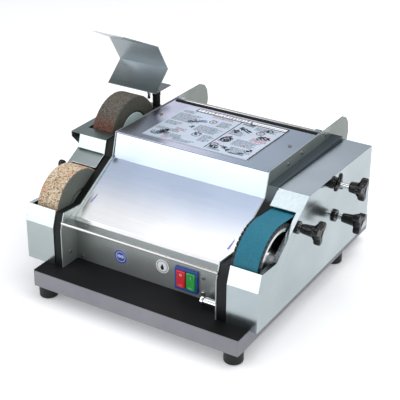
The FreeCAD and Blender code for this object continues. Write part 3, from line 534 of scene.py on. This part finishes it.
def knob(name, node, body, cy, cz, x_head, thick, rad, lobe, turn, neck, way=1, metal_from=None, bore=None):
    """Moulded three-lobed hand knob: crowned head with rounded rims, tapered hub, steel stud.
    way +1 points to +X.  neck is [(distance behind the head's inner face, radius)]."""
    out = star_outline(rad, lobe, turn)
    n = len(out)
    bm = bmesh.new()
    sections = [(0.0, 3.0), (0.5, 1.5), (1.5, 0.45), (3.2, 0.0), (thick - 3.4, 0.0), (thick - 1.6, 0.5), (thick - 0.55, 1.7),
                (thick - 0.1, 3.6), (thick, 6.0)]
    loops = []
    for dx, inset in sections:
        lp = []
        for k in range(n):
            a = 2 * math.pi * k / n
            r = max(2.0, out[k] - inset)
            lp.append(D(x_head + way * dx, cy + r * math.cos(a), cz + r * math.sin(a)))
        loops.append(lp)
    # closing rings in the middle: a shallow round dimple with a boss
    for dx, r in ((thick - 0.15, 9.0), (thick - 0.15, 7.6), (thick - 0.9, 6.8), (thick - 0.9, 1.0)):
        if r < min(out) - 0.5:
            loops.append([D(x_head + way * dx, cy + r * math.cos(2 * math.pi * k / n), cz + r * math.sin(2 * math.pi * k / n)) for k in range(n)])
    if bore:
        back = [D(x_head, cy + (bore + 0.1) * math.cos(2 * math.pi * k / n), cz + (bore + 0.1) * math.sin(2 * math.pi * k / n)) for k in range(n)]
        loops.insert(0, back)
        front = [D(x_head + way * thick, cy + (bore + 0.1) * math.cos(2 * math.pi * k / n), cz + (bore + 0.1) * math.sin(2 * math.pi * k / n)) for k in range(n)]
        loops = [lp for lp in loops[:10]] + [front]
        loft(bm, loops, 0, (False, False))
    else:
        loft(bm, loops, 0, (True, True))
    if neck:
        prof = [(x_head - way * d, r) for d, r in neck]
        if bore:
            turned(bm, prof, cy, cz, 48)
        else:
            turned(bm, prof, cy, cz, 48)
    mats = ["knob_black", "shaft_steel"]
    if metal_from:
        xa, xb, rr = metal_from
        turned(bm, [(xa, 0.0), (xa, rr - 0.6), (xa + 0.6 * way, rr), (xb, rr), (xb, 0.0)], cy, cz, 32, mat=1)
    return piece(name, bm, mats, body, (node,), smooth=True, auto=50)


AY, AZ = 311.5, 233.3
knob("side_clamp_hand", "side_clamp_knob", "side_clamp", 172.5, 203.4, 273.0, 13.0, 24.0, 7.0, 30.0,
     [(-1.5, 14.5), (0.0, 12.0), (3.0, 10.8), (12.0, 9.9), (20.0, 9.2), (24.5, 8.5), (25.0, 7.8), (25.0, 0.0)], 1, (232.5, 249.0, 4.95))
knob("tension_clamp_hand", "tension_clamp_knob", "tension_clamp", 331.9, 155.4, 282.0, 13.0, 24.0, 7.0, 10.0,
     [(-1.5, 14.5), (0.0, 12.0), (3.0, 10.8), (12.0, 9.9), (20.0, 9.2), (25.5, 8.5), (26.0, 7.8), (26.0, 0.0)], 1, (228.0, 257.0, 4.95))
knob("tracking_hand", "tracking_knob", "tracking_grip", AY, AZ, 291.0, 13.0, 24.0, 7.0, 40.0,
     [(-1.5, 14.5), (0.0, 12.2), (2.5, 11.4), (8.0, 10.8), (14.5, 10.2), (15.6, 9.6), (16.0, 8.8), (16.0, 5.1)], 1)
knob("left_front_hand", "left_front_knob", "left_front_clamp", 172.0, 182.0, -272.5, 11.5, 22.0, 7.2, 90.0,
     [(-1.0, 13.0), (0.0, 11.5), (2.5, 10.2), (6.5, 8.6), (10.8, 8.9), (11.1, 8.4), (11.1, 0.0)], -1)
knob("left_rear_hand", "left_rear_knob", "left_rear_clamp", 258.0, 229.0, -272.5, 11.5, 22.0, 7.2, 90.0,
     [(-1.0, 13.0), (0.0, 11.5), (2.5, 10.2), (6.5, 8.6), (10.8, 8.9), (11.1, 8.4), (11.1, 0.0)], -1)
knob("tracking_lock_star", "tracking_lock_nut", "tracking_lock", AY, AZ, 250.0, 6.5, 21.0, 5.0, 75.0,
     [(0.0, 12.0), (2.0, 11.4), (3.6, 11.0), (4.0, 10.4), (4.0, 5.15)], 1, None, bore=5.05)


# ------------------------------------------------------------------ flat art: label, decals
class Art(object):
    """Thin printed shapes on a plane given by a function from (u, v) in millimetres to a point."""

    def __init__(self, to_point):
        self.bm = bmesh.new()
        self.at = to_point
        self.names = []

    def mat(self, name):
        if name not in self.names:
            self.names.append(name)
        return self.names.index(name)

    def shape(self, pts, mat, lift=0.0):
        vs = [self.bm.verts.new(self.at(u, v, lift)) for u, v in pts]
        f = self.bm.faces.new(vs)
        f.material_index = self.mat(mat)

    def rect(self, x0, y0, x1, y1, mat, lift=0.0):
        self.shape(((x0, y0), (x1, y0), (x1, y1), (x0, y1)), mat, lift)

    def disc(self, cx, cy, rx_, ry_, mat, lift=0.0, n=28, turn=0.0):
        self.shape([(cx + rx_ * math.cos(2 * math.pi * k / n) * math.cos(turn) - ry_ * math.sin(2 * math.pi * k / n) * math.sin(turn),
                     cy + rx_ * math.cos(2 * math.pi * k / n) * math.sin(turn) + ry_ * math.sin(2 * math.pi * k / n) * math.cos(turn))
                    for k in range(n)], mat, lift)

    def ring(self, cx, cy, r0, r1, mat, lift=0.0, a0=0.0, a1=360.0, n=32, sq=1.0):
        full = abs(a1 - a0 - 360.0) < 1e-6
        for k in range(n):
            t0 = math.radians(a0 + (a1 - a0) * k / n)
            t1 = math.radians(a0 + (a1 - a0) * (k + 1) / n)
            self.shape(((cx + r0 * math.cos(t0), cy + sq * r0 * math.sin(t0)), (cx + r1 * math.cos(t0), cy + sq * r1 * math.sin(t0)),
                        (cx + r1 * math.cos(t1), cy + sq * r1 * math.sin(t1)), (cx + r0 * math.cos(t1), cy + sq * r0 * math.sin(t1))), mat, lift)

    def line(self, x0, y0, x1, y1, w, mat, lift=0.0):
        dx, dy = x1 - x0, y1 - y0
        L = math.hypot(dx, dy) or 1.0
        nx, ny = -dy / L * w / 2, dx / L * w / 2
        self.shape(((x0 + nx, y0 + ny), (x0 - nx, y0 - ny), (x1 - nx, y1 - ny), (x1 + nx, y1 + ny)), mat, lift)

    def done(self, name, body):
        return piece(name, self.bm, self.names, body, (), smooth=False)


def on_label(u, v, lift):
    return D(u, v, 271.19 - (v - 238.0) * 3.76 / 173.0 + 0.10 + lift * 5.0)


rnd = random.Random(5)
art = Art(on_label)
# border and column rules
art.line(-131, 239.2, 99.0, 239.2, 0.5, "ink_mid")
art.line(98.4, 239.0, 98.4, 410.4, 2.6, "ink_dark")
art.line(96.4, 239.0, 96.4, 396.0, 1.6, "print_white")
art.line(2.0, 246.0, 2.0, 394.0, 1.8, "ink_dark", 0.02)
# header: a framed band, its left half filled with a row of bold blocks, its right half a thin rule
art.rect(-106, 393.6, 99.0, 410.8, "ink_dark", 0.01)
x = -102.6
while x < 16.0:
    w = rnd.uniform(2.6, 4.6)
    art.rect(x, 397.4, x + w, 407.2, "print_white", 0.06)
    x += w + rnd.uniform(2.6, 4.4)
art.rect(24.0, 401.4, 95.6, 407.4, "print_white", 0.06)
art.line(98.4, 239.0, 98.4, 410.4, 2.6, "ink_dark")
art.line(96.4, 239.0, 96.4, 396.0, 1.6, "print_white")
art.line(2.0, 246.0, 2.0, 394.0, 1.8, "ink_dark", 0.02)
# header: a framed band, its left half filled with a row of bold blocks, its right half a thin rule
art.rect(-106, 393.6, 99.0, 410.8, "ink_dark")
art.rect(-103.4, 396.6, 96.4, 408.0, "print_white", 0.02)
x = -101.0
while x < 18.0:
    w = rnd.uniform(2.4, 5.2)
    kind = rnd.random()
    art.rect(x, 397.6, x + w * 0.5, 407.0, "ink_dark", 0.04)
    if kind < 0.6:
        art.rect(x + w * 0.5, 397.6 if kind < 0.3 else 404.2, x + w, 400.4 if kind < 0.3 else 407.0, "ink_dark", 0.04)
    if kind > 0.25:
        art.rect(x + w * 0.72, 399.0, x + w, 406.0, "ink_dark", 0.04)
    x += w + rnd.uniform(1.2, 2.6)
art.line(24.0, 402.0, 95.0, 402.0, 3.4, "ink_dark", 0.04)


def text_block(x0, x1, y_top, rows, pitch, mats, thick=1.9, ragged=0.3):
    for i in range(rows):
        y = y_top - i * pitch
        end = x1 - rnd.random() * (x1 - x0) * ragged
        x = x0
        while x < end - 1.5:
            w = rnd.uniform(2.0, 8.0)
            w = min(w, end - x)
            art.line(x, y, x + w, y, thick * rnd.uniform(0.7, 1.1), rnd.choice(mats), 0.02)
            x += w + rnd.uniform(0.8, 1.6)


def pict_wheel(cx, cy, r, dark="ink_dark"):
    art.ring(cx, cy, r * 0.80, r, dark, 0.03)
    art.ring(cx, cy, r * 0.18, r * 0.34, dark, 0.03, n=16)
    art.ring(cx, cy, r * 1.18, r * 1.30, "ink_red", 0.03, 20, 110, 10)
    art.shape(((cx + r * 1.05 * math.cos(2.0), cy + r * 1.05 * math.sin(2.0)), (cx + r * 1.5 * math.cos(1.95), cy + r * 1.5 * math.sin(1.95)),
               (cx + r * 1.25 * math.cos(2.28), cy + r * 1.25 * math.sin(2.28))), "ink_red", 0.03)


def pict_blade(cx, cy, L, turn, dark="ink_dark"):
    c, s = math.cos(turn), math.sin(turn)

    def p(a, b):
        return (cx + a * c - b * s, cy + a * s + b * c)
    art.shape([p(0, -1.6), p(L * 0.62, -1.6), p(L * 0.62, 1.9), p(L * 0.2, 1.9), p(0, 0.6)], "ink_grey", 0.03)
    art.shape([p(L * 0.62, -1.3), p(L, -1.8), p(L, 1.2), p(L * 0.62, 1.7)], dark, 0.03)
    art.shape([p(L * 0.45, 4.5), p(L * 0.7, 3.2), p(L * 0.95, 4.2), p(L * 1.02, 7.5), p(L * 0.7, 9.0), p(L * 0.5, 7.0)], dark, 0.03)


def pict_hand(cx, cy, s, dark="ink_dark"):
    for i in range(7):
        a = rnd.uniform(0, 6.28)
        r = rnd.uniform(0.1, 0.8) * s
        art.disc(cx + r * math.cos(a), cy + r * math.sin(a), s * rnd.uniform(0.16, 0.34), s * rnd.uniform(0.10, 0.2), dark if i % 3 else "ink_grey", 0.03 + 0.004 * i, 10, rnd.uniform(0, 3))


# left column: machine outline at its front left corner and lines of print
for i in range(16):
    a = rnd.uniform(0, 6.28)
    art.disc(-113 + 13 * math.cos(a) * rnd.random(), 262 + 12 * math.sin(a) * rnd.random(), rnd.uniform(1.2, 3.6), rnd.uniform(0.8, 2.2),
             rnd.choice(["ink_dark", "ink_dark", "ink_grey", "ink_blue"]), 0.03 + 0.003 * i, 9, rnd.uniform(0, 3))
art.ring(-113, 262, 11.5, 13.0, "ink_dark", 0.03, 200, 420, 20)
text_block(-126, -96, 388, 3, 4.2, ["ink_red", "ink_mid", "ink_blue"])
text_block(-60, -12, 390, 2, 4.6, ["ink_red", "ink_grey"])
text_block(-128, -68, 371, 9, 4.6, ["ink_mid", "ink_blue", "ink_grey"])
pict_wheel(-46, 362, 8.0, "ink_grey")
text_block(-32, -4, 372, 6, 4.6, ["ink_mid", "ink_blue", "ink_grey"])
pict_blade(-84, 345, 30, 0.35, "ink_blue")
text_block(-128, -90, 324, 4, 4.6, ["ink_mid", "ink_blue", "ink_grey"])
text_block(-60, -6, 336, 7, 4.6, ["ink_mid", "ink_grey", "ink_blue"])
pict_hand(-66, 318, 10, "ink_blue")
text_block(-92, -64, 300, 3, 4.4, ["ink_red", "ink_mid"])
text_block(-128, -70, 288, 3, 4.4, ["ink_mid", "ink_blue", "ink_grey"])
pict_wheel(-42, 290, 9.0, "ink_blue")
text_block(-28, -4, 296, 7, 4.6, ["ink_mid", "ink_grey", "ink_blue"])
text_block(-92, -52, 268, 4, 4.4, ["ink_mid", "ink_blue", "ink_grey"])
text_block(-94, -76, 250, 2, 4.4, ["ink_red", "ink_red"])
text_block(-70, -20, 254, 3, 4.4, ["ink_grey", "ink_blue", "ink_mid"])
# right column
pict_blade(8, 388, 26, -0.15, "ink_grey")
text_block(40, 92, 388, 4, 4.4, ["ink_mid", "ink_blue", "ink_grey"])
pict_hand(22, 366, 12)
pict_blade(14, 366, 30, -0.5)
text_block(6, 40, 348, 5, 4.4, ["ink_mid", "ink_grey", "ink_blue"])
pict_wheel(60, 362, 8.5, "ink_grey")
pict_blade(66, 352, 26, -0.6)
art.disc(84, 352, 3.2, 1.8, "ink_red", 0.05, 12, 0.3)
text_block(58, 92, 334, 4, 4.4, ["ink_red", "ink_red", "ink_mid"])
pict_hand(18, 308, 13)
pict_wheel(18, 300, 11.0)
text_block(36, 92, 314, 7, 4.6, ["ink_mid", "ink_grey", "ink_blue"])
art.disc(62, 292, 2.4, 1.8, "ink_red", 0.05, 12)
pict_wheel(12, 268, 8.0)
pict_hand(30, 268, 8, "ink_grey")
text_block(44, 92, 276, 6, 4.6, ["ink_mid", "ink_grey", "ink_blue"])
text_block(6, 40, 252, 2, 4.4, ["ink_grey", "ink_blue"])
pict_blade(52, 250, 30, 0.1, "ink_grey")


def sketch(cx, cy, rad, count, mats=("ink_dark", "ink_dark", "ink_grey")):
    """A dense little drawing: short crossing strokes and filled spots."""
    for i in range(count):
        a = rnd.uniform(0, 6.28)
        r = rad * rnd.uniform(0.05, 0.95)
        x0, y0 = cx + r * math.cos(a), cy + r * math.sin(a)
        b = rnd.uniform(0, 3.14)
        L = rnd.uniform(0.35, 0.95) * rad
        art.line(x0 - L * 0.5 * math.cos(b), y0 - L * 0.5 * math.sin(b), x0 + L * 0.5 * math.cos(b), y0 + L * 0.5 * math.sin(b),
                 rnd.uniform(1.1, 2.3), rnd.choice(mats), 0.06 + 0.003 * i)
        if i % 3 == 0:
            art.disc(x0, y0, rnd.uniform(1.2, 2.8), rnd.uniform(1.0, 1.9), "ink_dark", 0.062 + 0.003 * i, 9, b)


for cx, cy, rad, count in ((-104, 268, 15, 22), (14, 345, 10, 12), (16, 300, 12, 14), (14, 258, 11, 14), (68, 380, 10, 10),
                           (72, 342, 10, 12), (82, 274, 9, 10), (-44, 300, 9, 7), (-84, 345, 10, 7), (40, 262, 9, 9)):
    sketch(cx, cy, rad, count)
art.done("label_print", "top_lid")

# turning-direction arrows on the slope
SN = Vector((0.0, -0.4908, 0.8712))


def on_slope(u, v, lift):
    """v runs up the slope in millimetres from its lower fold."""
    y = 79.2 + v * 0.8712
    z = 149.0 + v * 0.4908
    p = D(u, y, z)
    return p + SN * ((0.2 + lift) / 1000.0)


dec = Art(on_slope)
dec.shape(((-168.0, 38), (-163.6, 39), (-161.6, 56), (-162.8, 60), (-164.8, 50)), "ink_violet")
dec.shape(((137.0, 26), (142.4, 27), (143.4, 46), (142.0, 51), (139.4, 38)), "ink_violet")
dec.done("slope_marks", "frame")

# decals on the front panel: a blue disc with a ring of marks, and a pale oval with two plain arcs
PY = 80.0


def on_panel(u, v, lift):
    return D(u, PY - 0.86 - lift * 4.0, v)


b1 = Art(on_panel)
b1.disc(-76, 92, 14.0, 14.0, "print_blue", 0.0, 48)
b1.ring(-76, 92, 9.6, 10.6, "print_white", 0.03, 0, 360, 40)
for k in range(12):
    a0 = 30 * k
    b1.ring(-76, 92, 11.3, 12.8, "ink_mid", 0.03, a0 + 5, a0 + 20, 4)
b1.disc(-79.6, 92.6, 3.5, 3.2, "print_white", 0.04, 20)
b1.disc(-72.6, 92.6, 3.5, 3.2, "print_white", 0.04, 20)
b1.disc(-79.4, 92.4, 1.5, 1.4, "print_blue", 0.06, 14)
b1.disc(-72.8, 92.4, 1.5, 1.4, "print_blue", 0.06, 14)
b1.rect(-77.4, 91.8, -74.8, 93.8, "print_white", 0.05)
b1.disc(16.6, 100.0, 13.8, 13.8, "print_white", 0.0, 48)
b1.ring(16.6, 100, 10.6, 11.5, "ink_dark", 0.03, 0, 360, 40)
b1.shape([(16.6 + 4.6 * math.sin(a) * (1 if a < 3.1416 else 1) * (0.5 - 0.5 * math.cos(a)) ** 0.6, 99.2 + 6.2 * math.cos(a)) for a in [2 * math.pi * k / 28 for k in range(28)]], "ink_dark", 0.03)
b1.done("panel_decals", "frame")


# a thin black strip along the lid's rear edge, just in front of the hinge rod
bm = bmesh.new()
loft(bm, [[D(x_, y_, z_) for y_, z_ in ((421.6, 266.0), (430.6, 266.0), (430.6, 267.4), (429.9, 267.9), (422.4, 268.1), (421.6, 267.6))]
          for x_ in (-172.0, -171.2, 149.2, 150.0)])
piece("lid_rear_black_strip", bm, ["mat_black"], "top_lid", smooth=False)


# ------------------------------------------------------------------ switch rockers
def rounded(x0, z0, x1, z1, r, n=6):
    pts = []
    for cx, cz, a0 in ((x1 - r, z1 - r, 0), (x0 + r, z1 - r, 90), (x0 + r, z0 + r, 180), (x1 - r, z0 + r, 270)):
        for i in range(n + 1):
            a = math.radians(a0 + 90.0 * i / n)
            pts.append((cx + r * math.cos(a), cz + r * math.sin(a)))
    return pts


def button(name, node, body, x0, mat, sign):
    bm = bmesh.new()
    x1, z0, z1 = x0 + 18.8, 72.1, 106.9
    cx, cz = (x0 + x1) / 2, (z0 + z1) / 2
    loops = []
    for y, inset, r in ((89.0, 0.05, 1.6), (75.0, 0.05, 1.6), (73.6, 0.25, 1.8), (72.9, 0.8, 2.0), (72.55, 1.7, 2.4), (72.9, 3.2, 2.6), (73.7, 5.4, 2.2), (74.1, 7.6, 1.2)):
        loops.append([D(px, y, pz) for px, pz in rounded(x0 + inset, z0 + inset, x1 - inset, z1 - inset, r)])
    loft(bm, loops, 0)
    if sign == "ring":
        for k in range(24):
            t0, t1 = 2 * math.pi * k / 24, 2 * math.pi * (k + 1) / 24
            f = bm.faces.new([bm.verts.new(D(cx + r * math.cos(t), 73.35, cz + 9.0 + r * math.sin(t))) for r, t in ((1.5, t0), (2.5, t0), (2.5, t1), (1.5, t1))])
            f.material_index = 1
    else:
        f = bm.faces.new([bm.verts.new(D(cx + u, 73.35, cz + 9.0 + v)) for u, v in ((-0.55, -2.6), (0.55, -2.6), (0.55, 2.6), (-0.55, 2.6))])
        f.material_index = 1
    return piece(name, bm, [mat, "print_white"], body, (node,), smooth=True, auto=40)


button("stop_rocker", "stop_button", "stop", 50.1, "red_plastic", "ring")
button("start_rocker", "start_button", "start", 71.1, "green_plastic", "bar")

# ------------------------------------------------------------------ stage and light
bm = bmesh.new()
bmesh.ops.create_grid(bm, x_segments=8, y_segments=8, size=14.0)
me = bpy.data.meshes.new("studio_floor")
bm.to_mesh(me)
bm.free()
floor = bpy.data.objects.new("studio_floor", me)
floor.location = (0, 0, -0.0004)
root.objects.link(floor)
m, t, b = base_mat("floor_white")
b.inputs["Base Color"].default_value = (0.93, 0.93, 0.94, 1)
b.inputs["Roughness"].default_value = 0.9
b.inputs["Specular IOR Level"].default_value = 0.1
b.inputs["Emission Color"].default_value = (1.0, 1.0, 1.0, 1.0)
b.inputs["Emission Strength"].default_value = 0.22
fn = noise(t, coords(t), 3.0, 2.0)
t.links.new(ramp(t, fn, ((0.3, (0.925, 0.925, 0.93)), (0.7, (0.94, 0.94, 0.945)))), b.inputs["Base Color"])
me.materials.append(m)

world = bpy.data.worlds.new("studio_world")
scene.world = world
world.use_nodes = True
wt = world.node_tree
bg = next(n for n in wt.nodes if n.type == "BACKGROUND")
tc = wt.nodes.new("ShaderNodeTexCoord")


def lobe(direction, inner, outer, strength, colour):
    d = Vector(direction).normalized()
    dot = wt.nodes.new("ShaderNodeVectorMath")
    dot.operation = "DOT_PRODUCT"
    dot.inputs[1].default_value = d
    wt.links.new(tc.outputs["Generated"], dot.inputs[0])
    r = wt.nodes.new("ShaderNodeMapRange")
    r.interpolation_type = "SMOOTHSTEP"
    r.inputs["From Min"].default_value = math.cos(math.radians(outer))
    r.inputs["From Max"].default_value = math.cos(math.radians(inner))
    r.inputs["To Min"].default_value = 0.0
    r.inputs["To Max"].default_value = strength
    wt.links.new(dot.outputs["Value"], r.inputs["Value"])
    s = wt.nodes.new("ShaderNodeVectorMath")
    s.operation = "SCALE"
    s.inputs[0].default_value = colour
    wt.links.new(r.outputs["Result"], s.inputs["Scale"])
    return s.outputs["Vector"]


def add(a, b_):
    n = wt.nodes.new("ShaderNodeVectorMath")
    n.operation = "ADD"
    wt.links.new(a, n.inputs[0])
    wt.links.new(b_, n.inputs[1])
    return n.outputs["Vector"]


base = wt.nodes.new("ShaderNodeVectorMath")
base.operation = "ADD"
base.inputs[0].default_value = (0.30, 0.315, 0.335)
base.inputs[1].default_value = (0, 0, 0)
total = base.outputs["Vector"]
for args in (((-0.47, -0.885, 0.07), 12, 24, 2.7, (1.0, 1.0, 1.0)),       # low front left: risers and chamfers
             ((-0.385, -0.13, 0.913), 2, 9, 1.7, (1.0, 1.0, 1.02)),          # overhead left: lower slope and the right housing
             ((-0.475, -0.017, 0.877), 8, 17, 0.50, (1.0, 1.0, 1.0)),         # overhead left, wide: the whole slope
             ((-0.52, 0.72, 0.45), 5, 22, 0.75, (0.96, 0.96, 1.08)),        # behind left: top covers
             ((0.75, -0.35, 0.45), 20, 50, 0.35, (1.0, 1.0, 1.0))):
    total = add(total, lobe(*args))
wt.links.new(total, bg.inputs["Color"])
bg.inputs["Strength"].default_value = 1.0


def area(name, loc, target, size, power, colour=(1, 1, 1)):
    l = bpy.data.lights.new(name, "AREA")
    l.energy = power
    l.size = size
    l.color = colour
    o = bpy.data.objects.new(name, l)
    root.objects.link(o)
    o.location = loc
    o.rotation_mode = "QUATERNION"
    o.rotation_quaternion = (Vector(target) - Vector(loc)).to_track_quat("-Z", "Y")
    return o


area("soft_top", (0.7, 0.6, 2.7), (0, 0, 0.0), 2.2, 52)
area("soft_front", (-1.7, -1.5, 2.0), (0, 0, 0.1), 1.2, 14)
